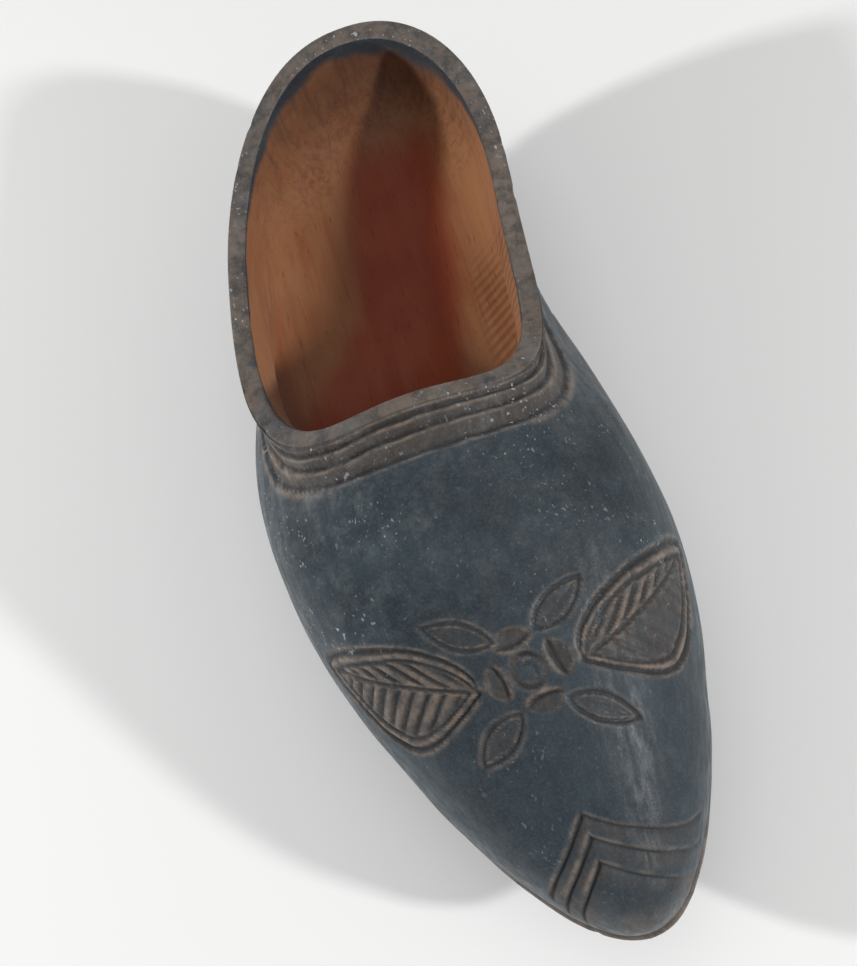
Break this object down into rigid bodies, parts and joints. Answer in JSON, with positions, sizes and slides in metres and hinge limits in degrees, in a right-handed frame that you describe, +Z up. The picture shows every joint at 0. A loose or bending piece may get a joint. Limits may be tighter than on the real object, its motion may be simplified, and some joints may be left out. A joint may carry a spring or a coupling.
{
  "type": "wooden clog",
  "caption": "Covered-toe wooden clog for a right foot, carved hollow from one block, with a carved vamp, a rounded toe and a block heel.",
  "frame": {"origin": "centre of the bounding box in plan, on the ground under the treads", "axes": "+Z up, the toe points to -Y, +X is the inner side of the right foot"},
  "size_m": [0.1092, 0.2792, 0.0808],
  "materials": {
    "painted_wood": "worn dark slate-blue paint outside with brown-grey wear on the carving, bare orange-tan wood inside"
  },
  "bodies": {
    "root": {"clog_body": "painted_wood"}
  },
  "joints": []
}
